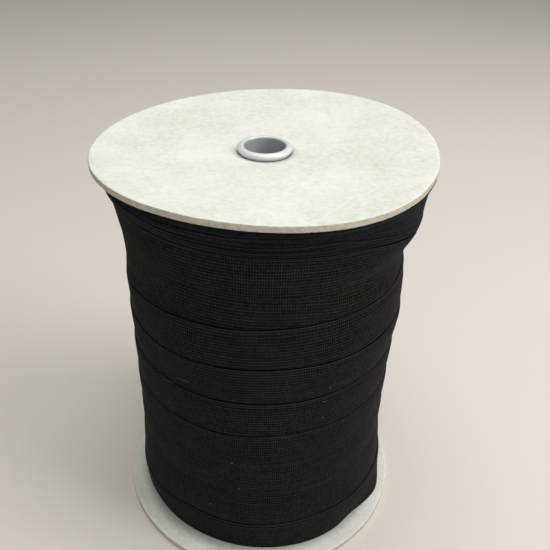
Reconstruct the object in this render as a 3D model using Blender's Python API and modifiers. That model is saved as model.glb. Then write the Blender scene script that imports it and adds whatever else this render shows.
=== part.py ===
"""A reel of flat elastic: two board flanges held on a rolled plastic tube, with the elastic wound between them.

Metres, +Z up. The origin is the middle of the bottom flange's flat rim, where the reel stands.
"""

import math
from collections import namedtuple

import bmesh
import bpy

MM = 0.001
GAP = 0.3 * MM

# The elastic is 20 mm wide, and its laps lie nearly edge to edge, so they are the scale of the whole reel.
TAPE_WIDTH = 20 * MM
REEL_ROOM = 190.2 * MM

# The flanges are grey board, cut round, with a hole for the tube.
FLANGE_RADIUS = 75 * MM
BOARD_THICKNESS = 2.8 * MM
BOARD_BEVEL = 0.35 * MM
FLANGE_HOLE_RADIUS = 11.8 * MM

# Tight winding has pushed both rims away from the reel's middle, so each flange is a shallow dish.
TOP_DISH = 4.0 * MM
TOP_TILT = 1.16 * MM
TOP_SADDLE = 1.7 * MM
TOP_SADDLE_ANGLE = math.radians(50)
TOP_RIPPLE = 0.5 * MM
TOP_RIPPLE_ANGLE = math.radians(17)
BOTTOM_DISH = 3.9 * MM
BOTTOM_FLAT_FROM = 60 * MM

# The tube runs through both flanges, and its ends are rolled over into round lips.
BORE_RADIUS = 9.9 * MM
TUBE_WALL = 1.5 * MM
LIP_RADIUS = 12.65 * MM
LIP_HEIGHT = 3.0 * MM
LIP_ROOT = 0.7 * MM

# Heights that follow from those sizes.
BOTTOM_RIM_TOP = BOARD_THICKNESS
TOP_BOARD_UNDER = BOTTOM_RIM_TOP + REEL_ROOM
TOP_BOARD_FACE = TOP_BOARD_UNDER + BOARD_THICKNESS
TUBE_OUTER = BORE_RADIUS + TUBE_WALL

# Angles round the reel, in degrees from +X. The elastic passes left, front, right and back on each turn.
LEFT_ANGLE = -165.0
FLAT_TURN = 50 / 360
FRONT_TURN = 75 / 360
RIGHT_TURN = 150 / 360
CROSS_START_TURN = 215 / 360
BACK_TURN = 255 / 360
CROSS_END_TURN = 305 / 360

# Steps of the mesh.
TUBE_SEGMENTS = 40
BOARD_SEGMENTS = 72
COLUMNS_PER_LAP = 60
LIP_STEPS = 8
TAPE_ROWS = 3

# Each row is one lap of the outermost layer, from the top down, in millimetres. Edge heights are the lap's upper
# edge above the bottom flange, at the reel's left, front and right. Radii are of its outer face, at its upper edge
# and where it goes under the next lap. Flat is how far a flattened place at the front left lies inside their mean.
# Belly is how far the middle of the lap's width stands out, and one that spans two steps of the layer below sags in.
Lap = namedtuple("Lap", "edge_left edge_front edge_right top_left top_right low_left low_right flat belly")
LAPS = [
    Lap(236.0, 236.0, 236.0, 71.6, 74.6, 71.4, 74.6, 0.8, 0.25),
    Lap(212.0, 212.0, 212.0, 71.2, 74.6, 69.8, 71.5, 0.8, 0.25),
    Lap(187.0, 184.5, 173.0, 69.8, 71.7, 69.2, 67.9, 0.8, 0.25),
    Lap(185.0, 178.3, 163.5, 69.5, 67.7, 64.5, 65.6, 1.0, -0.9),
    Lap(163.0, 159.8, 147.5, 64.8, 66.3, 64.2, 66.0, 1.0, 0.25),
    Lap(145.0, 143.0, 142.0, 64.6, 66.9, 64.3, 67.6, 1.0, 0.25),
    Lap(122.7, 122.5, 122.0, 64.8, 68.1, 63.9, 65.7, 1.2, 0.25),
    Lap(102.5, 102.4, 102.2, 64.6, 66.5, 64.0, 65.4, 1.3, 0.25),
    Lap(82.8, 82.8, 82.4, 64.5, 66.0, 64.0, 65.3, 1.4, 0.25),
    Lap(63.4, 63.4, 63.2, 64.4, 65.7, 64.2, 65.2, 1.6, 0.25),
    Lap(43.6, 43.6, 43.4, 64.6, 65.6, 65.8, 67.9, 2.6, 0.25),
    Lap(21.5, 21.5, 21.3, 66.5, 68.6, 66.0, 67.0, 3.8, 0.25),
    Lap(-9.0, -9.0, -9.0, 66.0, 67.0, 66.0, 67.0, 3.8, 0.25),
    Lap(-30.0, -30.0, -30.0, 66.0, 67.0, 66.0, 67.0, 3.8, 0.25),
    Lap(-50.0, -50.0, -50.0, 66.0, 67.0, 66.0, 67.0, 3.8, 0.25),
]
SKIN_LAPS = len(LAPS) - 3
LOOSE_LAP = 11
LOOSE_ANGLE = -22.0
LOOSE_SPREAD = 13.0
LOOSE_BULGE = 2.9 * MM


def clear_scene():
    for old in list(bpy.data.objects):
        bpy.data.objects.remove(old)


def new_collection(name):
    collection = bpy.data.collections.new(name)
    bpy.context.scene.collection.children.link(collection)
    return collection


def new_material(name, color, roughness):
    material = bpy.data.materials.new(name)
    material.use_nodes = True
    shader = material.node_tree.nodes["Principled BSDF"]
    shader.inputs["Base Color"].default_value = (*color, 1.0)
    shader.inputs["Roughness"].default_value = roughness
    shader.inputs["Metallic"].default_value = 0.0
    return material


def smooth_step(x):
    x = min(max(x, 0.0), 1.0)
    return x * x * (3 - 2 * x)


def turned(name, profile, segments, collection):
    """A closed outline of (radius, height) points turned about Z with a Screw modifier, as a plain mesh."""
    outline = bmesh.new()
    points = [outline.verts.new((radius, 0.0, height)) for radius, height in profile]
    for first, second in zip(points, points[1:] + points[:1]):
        outline.edges.new((first, second))
    mesh = bpy.data.meshes.new(name)
    outline.to_mesh(mesh)
    outline.free()
    shape = bpy.data.objects.new(name, mesh)
    collection.objects.link(shape)
    screw = shape.modifiers.new("turn", "SCREW")
    screw.steps = segments
    screw.render_steps = segments
    screw.use_merge_vertices = True
    screw.merge_threshold = 0.00001
    graph = bpy.context.evaluated_depsgraph_get()
    shape.data = bpy.data.meshes.new_from_object(shape.evaluated_get(graph))
    shape.modifiers.clear()
    bpy.data.meshes.remove(mesh)
    return shape


def shade(shape, material, sharp_degrees=35):
    shape.data.materials.clear()
    shape.data.materials.append(material)
    shape.data.shade_smooth()
    shape.data.set_sharp_from_angle(angle=math.radians(sharp_degrees))


def polar(point):
    """(radius, angle) of a point round the reel's axis."""
    return math.hypot(point.x, point.y), math.atan2(point.y, point.x)


def top_lift(radius, angle):
    """How far the top flange stands above its own middle, at a radius and an angle in radians."""
    tilt = TOP_TILT * math.cos(angle)
    saddle = TOP_SADDLE * math.cos(2 * (angle - TOP_SADDLE_ANGLE))
    ripple = TOP_RIPPLE * math.cos(3 * (angle - TOP_RIPPLE_ANGLE))
    return (TOP_DISH + tilt + saddle + ripple) * (radius / FLANGE_RADIUS) ** 2


def bottom_lift(radius, angle):
    """How far the bottom flange stands above its flat rim."""
    return BOTTOM_DISH * (1 - smooth_step(radius / BOTTOM_FLAT_FROM))


def make_flange(name, under, lift, material, collection):
    """A round board with a bevelled cut edge, dished and warped by its lift."""
    rings = [FLANGE_HOLE_RADIUS, 26 * MM, 43 * MM, BOTTOM_FLAT_FROM, FLANGE_RADIUS - BOARD_BEVEL]
    upper = [(radius, BOARD_THICKNESS) for radius in rings]
    edge = [(FLANGE_RADIUS, BOARD_THICKNESS - BOARD_BEVEL), (FLANGE_RADIUS, BOARD_BEVEL)]
    lower = [(radius, 0.0) for radius in reversed(rings)]
    board = turned(name, upper + edge + lower, BOARD_SEGMENTS, collection)
    board.location.z = under
    for vertex in board.data.vertices:
        vertex.co.z += lift(*polar(vertex.co))
    shade(board, material)
    return board


def lip_outline(board_face, outwards):
    """The rolled end of the tube, from the bore's wall round to the tube's outside. Outwards is 1 at the top."""
    start = board_face + outwards * GAP
    middle_radius = (BORE_RADIUS + LIP_RADIUS) / 2
    half_width = (LIP_RADIUS - BORE_RADIUS) / 2
    half_height = (LIP_HEIGHT - GAP) / 2
    middle = start + outwards * half_height
    points = []
    for step in range(LIP_STEPS + 1):
        turn = math.pi * (1 - 1.35 * step / LIP_STEPS)
        radius = middle_radius + half_width * math.cos(turn)
        points.append((radius, middle + outwards * half_height * math.sin(turn)))
    return [*points, (TUBE_OUTER + LIP_ROOT * 0.5, start), (TUBE_OUTER, start)]


def make_core(material, collection):
    highest_face = TOP_BOARD_FACE + top_lift(LIP_RADIUS, TOP_SADDLE_ANGLE)
    lowest_face = bottom_lift(LIP_RADIUS, 0.0)
    upper = lip_outline(highest_face, 1)
    lower = lip_outline(lowest_face, -1)
    core = turned("core_tube", upper + lower[::-1], TUBE_SEGMENTS, collection)
    shade(core, material)
    return core


def between(keys, turn):
    """Smooth value at a turn count, from (turn, value) keys in order, with no overshoot between them."""
    if turn <= keys[0][0]:
        return keys[0][1]
    for (start, first), (end, second) in zip(keys, keys[1:]):
        if turn <= end:
            return first + (second - first) * smooth_step((turn - start) / (end - start))
    return keys[-1][1]


def edge_keys():
    """Keys of the upper edge's height. Each lap is level or slants at the front, and steps down at the back."""
    keys = []
    for number, lap in enumerate(LAPS):
        keys += [(number, lap.edge_left), (number + FRONT_TURN, lap.edge_front)]
        keys += [(number + RIGHT_TURN, lap.edge_right), (number + CROSS_START_TURN, lap.edge_right)]
        if number + 1 < len(LAPS):
            keys.append((number + CROSS_END_TURN, LAPS[number + 1].edge_left))
    return keys


def radius_keys(left_name, right_name):
    """Keys of the outer radius at the left, the flattened place, the right and the back of each lap."""
    keys = []
    for number, lap in enumerate(LAPS):
        left, right = getattr(lap, left_name), getattr(lap, right_name)
        middle = (left + right) / 2
        keys += [(number, left), (number + FLAT_TURN, middle - lap.flat)]
        keys += [(number + RIGHT_TURN, right), (number + BACK_TURN, middle + lap.flat / 4)]
    return keys


EDGE_KEYS = edge_keys()
BELLY_KEYS = [(number + side, lap.belly) for number, lap in enumerate(LAPS) for side in (0.2, 0.8)]
TOP_RADIUS_KEYS = radius_keys("top_left", "top_right")
LOW_RADIUS_KEYS = radius_keys("low_left", "low_right")


def edge_height(turn):
    return BOTTOM_RIM_TOP + MM * between(EDGE_KEYS, turn)


def loose_bulge(turn, share):
    """The last lap has sprung away from the reel at its lower edge, a little to the right of the front."""
    if not LOOSE_LAP <= turn < LOOSE_LAP + 1:
        return 0.0
    angle = LEFT_ANGLE + 360 * (turn - LOOSE_LAP)
    return LOOSE_BULGE * share * math.exp(-(((angle - LOOSE_ANGLE) / LOOSE_SPREAD) ** 2))


def tape_section(turn):
    """(radius, height) points down one lap's outer face, from its upper edge to where the next lap covers it."""
    top_radius = MM * between(TOP_RADIUS_KEYS, turn)
    low_radius = MM * between(LOW_RADIUS_KEYS, turn)
    middle_out = MM * between(BELLY_KEYS, turn)
    top_height, low_height = edge_height(turn), edge_height(turn + 1)
    points = []
    for row in range(TAPE_ROWS + 1):
        share = row / TAPE_ROWS
        belly = middle_out * math.sin(math.pi * share)
        radius = top_radius + (low_radius - top_radius) * share + belly + loose_bulge(turn, share)
        points.append((radius, top_height + (low_height - top_height) * share))
    return points


def make_wound_body(collection):
    """The wound elastic as one closed body, longer than the reel's room: a loft of the tape along its helix."""
    body = bmesh.new()

    def place(radius, height, angle):
        return body.verts.new((radius * math.cos(angle), radius * math.sin(angle), height))

    last = SKIN_LAPS * COLUMNS_PER_LAP
    inner = TUBE_OUTER
    skin, bore_top, bore_low = [], [], []
    for column in range(last + 1):
        angle = math.radians(LEFT_ANGLE + 360 * (column % COLUMNS_PER_LAP) / COLUMNS_PER_LAP)
        section = tape_section(column / COLUMNS_PER_LAP)
        skin.append([place(radius, height, angle) for radius, height in section])
        if column <= COLUMNS_PER_LAP:
            bore_top.append(place(inner, section[0][1], angle))
        if column >= last - COLUMNS_PER_LAP:
            bore_low.append(place(inner, section[-1][1], angle))

    for column in range(last):
        here, after = skin[column], skin[column + 1]
        for row in range(TAPE_ROWS):
            body.faces.new((here[row], here[row + 1], after[row + 1], after[row]))
        if column + COLUMNS_PER_LAP < last:
            under, under_after = skin[column + COLUMNS_PER_LAP], skin[column + COLUMNS_PER_LAP + 1]
            body.faces.new((here[-1], under[0], under_after[0], after[-1]))

    first_low = last - COLUMNS_PER_LAP
    for step in range(COLUMNS_PER_LAP):
        body.faces.new((skin[step][0], skin[step + 1][0], bore_top[step + 1], bore_top[step]))
        low, low_after = skin[first_low + step][-1], skin[first_low + step + 1][-1]
        body.faces.new((low_after, low, bore_low[step], bore_low[step + 1]))
        wall = [bore_top[step], bore_top[step + 1], bore_low[step + 1], bore_low[step]]
        if step == 0:
            wall.append(bore_top[-1])
        if step == COLUMNS_PER_LAP - 1:
            wall.insert(2, bore_low[0])
        body.faces.new(wall)
    body.faces.new([bore_top[0], *skin[0], skin[COLUMNS_PER_LAP][0], bore_top[-1]])
    body.faces.new([bore_low[0], skin[first_low][-1], *skin[last], bore_low[-1]])

    bmesh.ops.recalc_face_normals(body, faces=body.faces)
    mesh = bpy.data.meshes.new("elastic_winding")
    body.to_mesh(mesh)
    body.free()
    winding = bpy.data.objects.new("elastic_winding", mesh)
    collection.objects.link(winding)
    return winding


def make_room(collection):
    """The space between the flanges and outside the tube, as a cutter that trims the wound body to fit."""
    inner = TUBE_OUTER + GAP
    outer = FLANGE_RADIUS + 12 * MM
    top_rings = [inner, 40 * MM, 56 * MM, 66 * MM, FLANGE_RADIUS, outer]
    low_rings = [outer, BOTTOM_FLAT_FROM, 45 * MM, 30 * MM, inner]
    top = [(radius, TOP_BOARD_UNDER - GAP) for radius in top_rings]
    low = [(radius, BOTTOM_RIM_TOP + GAP) for radius in low_rings]
    room = turned("room_between_flanges", top + low, COLUMNS_PER_LAP, collection)
    middle = (BOTTOM_RIM_TOP + TOP_BOARD_UNDER) / 2
    for vertex in room.data.vertices:
        lift = top_lift if vertex.co.z > middle else bottom_lift
        vertex.co.z += lift(*polar(vertex.co))
    room.hide_render = True
    room.display_type = "WIRE"
    return room


def make_winding(material, parts, cutters):
    winding = make_wound_body(parts)
    room = make_room(cutters)
    trim = winding.modifiers.new("trim", "BOOLEAN")
    trim.operation = "INTERSECT"
    trim.solver = "EXACT"
    trim.object = room
    shade(winding, material, sharp_degrees=50)
    return winding


def main():
    clear_scene()
    parts = new_collection("reel_of_elastic")
    cutters = new_collection("cutters")
    board = new_material("grey_board", (0.74, 0.74, 0.69), 0.85)
    plastic = new_material("white_plastic", (0.80, 0.82, 0.83), 0.3)
    elastic = new_material("black_elastic", (0.012, 0.011, 0.011), 0.8)
    make_flange("flange_bottom", 0.0, bottom_lift, board, parts)
    make_flange("flange_top", TOP_BOARD_UNDER, top_lift, board, parts)
    make_core(plastic, parts)
    make_winding(elastic, parts, cutters)


main()
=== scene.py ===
# %% [markdown]
# # A reel of black elastic
#
# This lesson dresses a plain solid model of a haberdashery reel, so that it looks like the real thing.
# The reel is a white plastic tube with a round pulp board at each end.
# Flat woven elastic, 20 mm wide, is wound between the boards in laps that overlap like roof slates.
# The solids give the sizes. The meshes made here carry the weave, the tape edges and the cut board.

# %% Load the solids
import math

import bpy
import numpy as np
from mathutils import Matrix, Vector


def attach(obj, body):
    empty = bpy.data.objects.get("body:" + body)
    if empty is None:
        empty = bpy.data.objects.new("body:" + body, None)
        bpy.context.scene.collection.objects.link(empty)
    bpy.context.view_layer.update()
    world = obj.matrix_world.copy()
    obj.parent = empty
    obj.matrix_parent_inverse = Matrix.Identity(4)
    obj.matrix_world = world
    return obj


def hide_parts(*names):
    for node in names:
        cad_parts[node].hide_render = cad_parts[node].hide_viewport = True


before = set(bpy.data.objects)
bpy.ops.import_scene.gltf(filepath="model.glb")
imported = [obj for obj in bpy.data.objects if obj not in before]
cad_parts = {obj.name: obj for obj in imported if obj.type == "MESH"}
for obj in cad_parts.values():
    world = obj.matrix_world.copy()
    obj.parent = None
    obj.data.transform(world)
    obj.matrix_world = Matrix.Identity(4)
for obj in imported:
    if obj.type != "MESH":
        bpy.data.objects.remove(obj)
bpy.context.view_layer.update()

MM = 0.001

# %% [markdown]
# ## The camera
#
# A camera in Blender looks along its own -Z axis, with +X to the right and +Y up.
# The viewing angle was worked out from the outlines of the two round boards and the ring of the tube.
# A focal length in pixels over the picture's width in pixels, times the sensor's width, gives the lens.
# The three angles are in radians: how far the camera looks down, leans and turns to the right.

# %% Place the camera
PICTURE_WIDTH = 550
FOCAL_PIXELS = 654.5
SENSOR_WIDTH = 36.0
CAMERA_PLACE = Vector((0.0, -0.26932, 0.30932))
CAMERA_DOWN, CAMERA_ROLL, CAMERA_TURN = 0.5852, 0.0284, 0.0224

ahead = Vector((
    math.sin(CAMERA_TURN) * math.cos(CAMERA_DOWN),
    math.cos(CAMERA_TURN) * math.cos(CAMERA_DOWN),
    -math.sin(CAMERA_DOWN),
))
level = Vector((math.cos(CAMERA_TURN), -math.sin(CAMERA_TURN), 0.0))
above = level.cross(ahead)
right = level * math.cos(CAMERA_ROLL) + above * math.sin(CAMERA_ROLL)
up = above * math.cos(CAMERA_ROLL) - level * math.sin(CAMERA_ROLL)

camera_data = bpy.data.cameras.new("camera")
camera_data.sensor_width = SENSOR_WIDTH
camera_data.lens = SENSOR_WIDTH * FOCAL_PIXELS / PICTURE_WIDTH
camera_data.clip_start = 0.01
camera = bpy.data.objects.new("camera", camera_data)
camera_axes = Matrix((right, up, -ahead)).transposed().to_4x4()
camera.matrix_world = Matrix.Translation(CAMERA_PLACE) @ camera_axes
bpy.context.scene.collection.objects.link(camera)
bpy.context.scene.camera = camera
print("lens", round(camera_data.lens, 2), "mm")

# %% [markdown]
# ## A helper for shader nodes
#
# A procedural finish is a small graph of nodes. Each node has settings and input sockets.
# One helper makes a node, sets it, and feeds each input with a number or with another node's output.

# %% Make shader nodes in one line
def feed(finish, socket, value):
    """Links an output to a socket, or sets the socket's own value."""
    if isinstance(value, bpy.types.NodeSocket):
        finish.node_tree.links.new(value, socket)
    else:
        socket.default_value = value


def node(finish, kind, settings=None, **inputs):
    """A new shader node. An input's name has _ for a space, and i0, i1 stand for numbered inputs."""
    made = finish.node_tree.nodes.new("ShaderNode" + kind)
    for name, value in (settings or {}).items():
        setattr(made, name, value)
    for name, value in inputs.items():
        numbered = name[0] == "i" and name[1:].isdigit()
        feed(finish, made.inputs[int(name[1:]) if numbered else name.replace("_", " ")], value)
    return made


def maths(finish, operation, first, second=0.0):
    return node(finish, "Math", {"operation": operation}, i0=first, i1=second).outputs[0]


def times(finish, first, second):
    return maths(finish, "MULTIPLY", first, second)


def weighed(finish, first, first_share, second, second_share):
    """Two values, each times its share, added up."""
    return maths(finish, "ADD", times(finish, first, first_share), times(finish, second, second_share))


def scaled(finish, value, factor, added):
    return maths(finish, "ADD", times(finish, value, factor), added)


def noise(finish, place, scale, detail, **more):
    """A cloudy pattern from 0 to 1. Three scales stretch it along the axes."""
    if isinstance(scale, tuple):
        place, scale = node(finish, "Mapping", Vector=place, Scale=scale).outputs[0], 1.0
    return node(finish, "TexNoise", Vector=place, Scale=scale, Detail=detail, **more).outputs["Fac"]


def tints(finish, factor, stops):
    """A colour ramp with (position, colour) stops."""
    ramp = node(finish, "ValToRGB", Fac=factor)
    band = ramp.color_ramp
    while len(band.elements) < len(stops):
        band.elements.new(0.5)
    for element, (position, colour) in zip(band.elements, stops):
        element.position = position
        element.color = (*colour, 1.0)
    return ramp.outputs["Color"]


def ranged(finish, value, start, end):
    """Goes smoothly from 0 where the value is start to 1 where it is end."""
    smooth = {"interpolation_type": "SMOOTHSTEP"}
    return node(finish, "MapRange", smooth, Value=value, From_Min=start, From_Max=end).outputs[0]


def mixed_colour(finish, share, first, second):
    """The first colour where the share is 0, and the second one where it is 1."""
    return node(finish, "Mix", {"data_type": "RGBA"}, i0=share, i6=first, i7=second).outputs[2]


def relief(finish, shader, strength, distance, height):
    """Feeds a fine bump into the shader's normal."""
    bump = node(finish, "Bump", Strength=strength, Distance=distance, Height=height).outputs[0]
    feed(finish, shader.inputs["Normal"], bump)


def from_axis(finish, place):
    """The distance of a place from the reel's axis."""
    level = node(finish, "VectorMath", {"operation": "MULTIPLY"}, i0=place, i1=(1.0, 1.0, 0.0)).outputs[0]
    return node(finish, "VectorMath", {"operation": "LENGTH"}, i0=level).outputs["Value"]


def new_finish(name, roughness, specular=0.5):
    finish = bpy.data.materials.new(name)
    finish.use_nodes = True
    shader = finish.node_tree.nodes["Principled BSDF"]
    shader.inputs["Roughness"].default_value = roughness
    shader.inputs["Specular IOR Level"].default_value = specular
    return finish, shader


print("helpers ready")

# %% [markdown]
# ## Floor and light
#
# The reel stands on a plain pale surface under soft studio light, as a shop would photograph it.
# Big area lamps give soft shadows. One hangs above, so that the top board is bright and the upper edge
# of each lap of tape catches a thin line of light, which a painted highlight on the selvedge strengthens.
# One at the right models the round of the winding, and a weak one in front lifts the black of the tape.

# %% Lay the floor
floor_finish, floor_shader = new_finish("pale_floor", 0.7, 0.3)
floor_shader.inputs["Base Color"].default_value = (0.71, 0.675, 0.63, 1.0)
FLOOR_REACH = 6
floor_corners = [(x * FLOOR_REACH, y * FLOOR_REACH, 0) for x, y in ((-1, -1), (1, -1), (1, 1), (-1, 1))]
floor_mesh = bpy.data.meshes.new("floor")
floor_mesh.from_pydata(floor_corners, [], [(0, 1, 2, 3)])
floor_mesh.materials.append(floor_finish)
floor = bpy.data.objects.new("floor", floor_mesh)
floor.location.z = -0.2 * MM
bpy.context.scene.collection.objects.link(floor)
print("floor laid")

# %% Hang the lamps
LAMPS = [
    # name, place and target in metres, width and height, watts, colour
    ("overhead_softbox", (0.12, 0.05, 1.3), (0.0, 0.0, 0.15), (1.3, 1.1), 10.0, (1.0, 0.985, 0.96)),
    ("front_softbox", (0.1, -1.25, 0.8), (0.0, 0.0, 0.1), (0.9, 0.9), 2.6, (0.97, 0.985, 1.0)),
    ("right_softbox", (1.05, -0.3, 0.9), (0.0, 0.0, 0.1), (0.7, 0.8), 9.2, (1.0, 0.98, 0.95)),
]
AIR_COLOUR, AIR_STRENGTH = (1.0, 0.975, 0.93, 1.0), 0.30


def lamp(name, place, target, size, power, colour):
    data = bpy.data.lights.new(name, "AREA")
    data.shape = "RECTANGLE"
    data.size, data.size_y = size
    data.energy = power
    data.color = colour
    made = bpy.data.objects.new(name, data)
    made.location = place
    made.rotation_euler = (Vector(target) - Vector(place)).to_track_quat("-Z", "Y").to_euler()
    bpy.context.scene.collection.objects.link(made)


for settings in LAMPS:
    lamp(*settings)

world = bpy.data.worlds.new("studio_air")
world.use_nodes = True
air = world.node_tree.nodes["Background"].inputs
air["Color"].default_value = AIR_COLOUR
air["Strength"].default_value = AIR_STRENGTH
bpy.context.scene.world = world
bpy.context.scene.view_settings.view_transform = "Standard"
print("lamps:", [settings[0] for settings in LAMPS])

# %% [markdown]
# ## One way to make every mesh
#
# Boards, tube and tape are all an outline that travels round the reel's axis.
# So each of them can be a grid of points: one closed outline per column, one column after another.
# Numpy works out a whole grid at once, and one helper turns grids into a closed mesh.
# A closed mesh has an inside and an outside, which a renderer and a 3-D printer both like.

# %% Turn grids of points into a closed mesh
def mesh_of_grids(name, grids, joined=False):
    """Each grid holds a closed outline per column. The last column meets the first, or both get a cap."""
    points, faces, start = [], [], 0
    for grid in grids:
        columns, rows = grid.shape[:2]
        index = start + np.arange(columns * rows).reshape(columns, rows)
        here = index if joined else index[:-1]
        after = np.roll(index, -1, axis=0) if joined else index[1:]
        quads = np.stack([here, np.roll(here, -1, axis=1), np.roll(after, -1, axis=1), after], axis=-1)
        faces += quads.reshape(-1, 4).tolist()
        if not joined:
            faces += [index[0][::-1].tolist(), index[-1].tolist()]
        points.append(grid.reshape(-1, 3))
        start += index.size
    mesh = bpy.data.meshes.new(name)
    mesh.from_pydata(np.concatenate(points).tolist(), [], faces)
    mesh.shade_smooth()
    return mesh


def grid_of(radii, angles, heights):
    """Points from arrays of radius, angle and height, one row of each for a column."""
    return np.stack([radii * np.cos(angles), radii * np.sin(angles), heights], axis=-1)


def add_piece(name, mesh, finishes, slot, *nodes):
    """Puts a mesh into the scene as a piece of the reel, which stands for these CAD nodes."""
    for finish in finishes:
        mesh.materials.append(finish)
    piece = bpy.data.objects.new(name, mesh)
    bpy.context.scene.collection.objects.link(piece)
    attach(piece, "root")
    if nodes:
        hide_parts(*nodes)
    print(name, "triangles", sum(len(face.vertices) - 2 for face in mesh.polygons))


def smooth_step(x):
    x = np.clip(x, 0.0, 1.0)
    return x * x * (3 - 2 * x)


# %% [markdown]
# ## The shape of the boards
#
# The winding presses the boards apart, so the top one is dished like a plate, and a little warped.
# The bottom one stands on its rim and its middle is raised.
# The numbers are those of the solid model, so the dressed boards lie exactly where the solids are.

# %% Describe the dished boards
BOARD_RADIUS = 75.0 * MM
BOARD_THICKNESS = 2.8 * MM
BOARD_BEVEL = 0.35 * MM
BOARD_HOLE = 11.8 * MM
TOP_BOARD_UNDER = 193.0 * MM
BOTTOM_FLAT_FROM = 60.0 * MM


def top_lift(radius, angle):
    """How far the top board stands above its own middle."""
    tilt = 1.16 * np.cos(angle)
    saddle = 1.7 * np.cos(2 * (angle - math.radians(50)))
    ripple = 0.5 * np.cos(3 * (angle - math.radians(17)))
    return (4.0 + tilt + saddle + ripple) * MM * (radius / BOARD_RADIUS) ** 2


def bottom_lift(radius, angle):
    """How far the bottom board stands above its flat rim. It is the same at each angle."""
    return 3.9 * MM * (1 - smooth_step(radius / BOTTOM_FLAT_FROM)) + 0.0 * angle


print("top board rim lift, mm:", np.round(top_lift(BOARD_RADIUS, np.radians([-165, -90, -15, 60])) / MM, 2))

# %% [markdown]
# ## Rough shapes without pictures
#
# Pulp board and woven tape are never perfectly even. A sum of a few waves with seeded random
# phases gives a soft unevenness that is the same on every run, and closes up round the reel because
# each wave repeats a whole number of times in a turn.

# %% Make seeded unevenness round the reel
def unevenness(seed, angles, lowest, highest, count):
    """A smooth random function of the angle, about 1 high, that repeats after a full turn."""
    chance = np.random.default_rng(seed)
    total = np.zeros_like(angles)
    for _ in range(count):
        waves = chance.integers(lowest, highest)
        total = total + np.sin(waves * angles + chance.uniform(0, 2 * math.pi)) * chance.uniform(0.5, 1.0)
    return total / math.sqrt(count)


print("unevenness at 0, 1 and 2 radians:", np.round(unevenness(1, np.array([0.0, 1.0, 2.0]), 3, 40, 12), 2))

# %% [markdown]
# ## Cutting the boards
#
# A board like this is stamped out of a sheet of pulp board, so its rim has a crushed and slightly torn edge.
# The outline goes from the hole over the upper face, down the cut edge in many small steps, and back
# below. Each step of the cut edge moves in and out a little, and the two corners have small nicks.

# %% Build a board
BOARD_COLUMNS = 720
EDGE_STEPS = 9
CORNER_IN = 0.35 * BOARD_BEVEL
MOST_OUT = 0.22 * MM


def board_outline():
    """Radii, heights and marks of the outline's points: 0 on a face, 1 at the cut edge, 0.5 at a corner."""
    rings = np.concatenate([np.linspace(BOARD_HOLE, 24 * MM, 5), np.linspace(29 * MM, 66 * MM, 9)])
    rings = np.concatenate([rings, [70 * MM, 73 * MM, BOARD_RADIUS - 2 * BOARD_BEVEL]])
    steps = np.linspace(BOARD_THICKNESS - BOARD_BEVEL, BOARD_BEVEL, EDGE_STEPS)
    radii = [*rings, BOARD_RADIUS - CORNER_IN, *[BOARD_RADIUS] * EDGE_STEPS]
    heights = [BOARD_THICKNESS] * len(rings) + [BOARD_THICKNESS - 0.25 * BOARD_BEVEL, *steps]
    mark = [0.0] * len(rings) + [0.5] + [1.0] * EDGE_STEPS
    radii += [BOARD_RADIUS - CORNER_IN, *rings[::-1]]
    heights += [0.25 * BOARD_BEVEL] + [0.0] * len(rings)
    mark += [0.5] + [0.0] * len(rings)
    return np.array(radii), np.array(heights), np.array(mark)


def board_points(under, lift, seed):
    """Radius, angle and height of each point of a board, and the marks of its outline."""
    radii, heights, mark = board_outline()
    angles = np.linspace(-math.pi, math.pi, BOARD_COLUMNS, endpoint=False)[:, None]
    chance = np.random.default_rng(seed)
    steps = range(len(radii))
    layers = np.stack([unevenness(seed + step, angles[:, 0], 20, 190, 24) for step in steps], axis=1)
    grain = chance.normal(0.0, 1.0, (BOARD_COLUMNS, len(radii)))
    wander = 0.10 * MM * unevenness(seed + 90, angles, 3, 26, 10)
    nicks = np.clip(unevenness(seed + 91, angles, 30, 240, 30) - 1.1, 0.0, 2.0) * 0.35 * MM
    rim_in = (mark > 0) * (wander + (0.05 * layers + 0.035 * grain) * MM)
    rim_in = rim_in - (mark == 0.5) * nicks
    radius = np.minimum(radii + rim_in, BOARD_RADIUS + MOST_OUT)
    towards_middle = np.sign(BOARD_THICKNESS / 2 - heights)
    height = heights + (mark > 0) * 0.03 * MM * grain + (mark == 0.5) * towards_middle * nicks * 0.6
    return radius, angles + 0 * radius, under + height + lift(radii + 0 * radius, angles), mark


def build_board(name, under, lift, seed, dents):
    """A board with dents of (radius, angle, size and depth) in mm and degrees, and two finish slots."""
    radius, angle, height, mark = board_points(under, lift, seed)
    for dent_radius, dent_angle, size, depth in dents:
        across = (radius - dent_radius * MM) / (size * MM)
        along = radius * (angle - math.radians(dent_angle)) / (size * 1.7 * MM)
        height = height - depth * MM * np.exp(-across ** 2 - along ** 2) * (mark == 0)
    mesh = mesh_of_grids(name, [grid_of(radius, angle, height)], joined=True)
    is_edge = np.tile((mark > 0) & (np.roll(mark, -1) > 0), BOARD_COLUMNS)
    mesh.polygons.foreach_set("material_index", is_edge.astype(np.int32))
    print(name, "rows", len(mark), "cut edge faces", int(is_edge.sum()))
    return mesh
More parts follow.
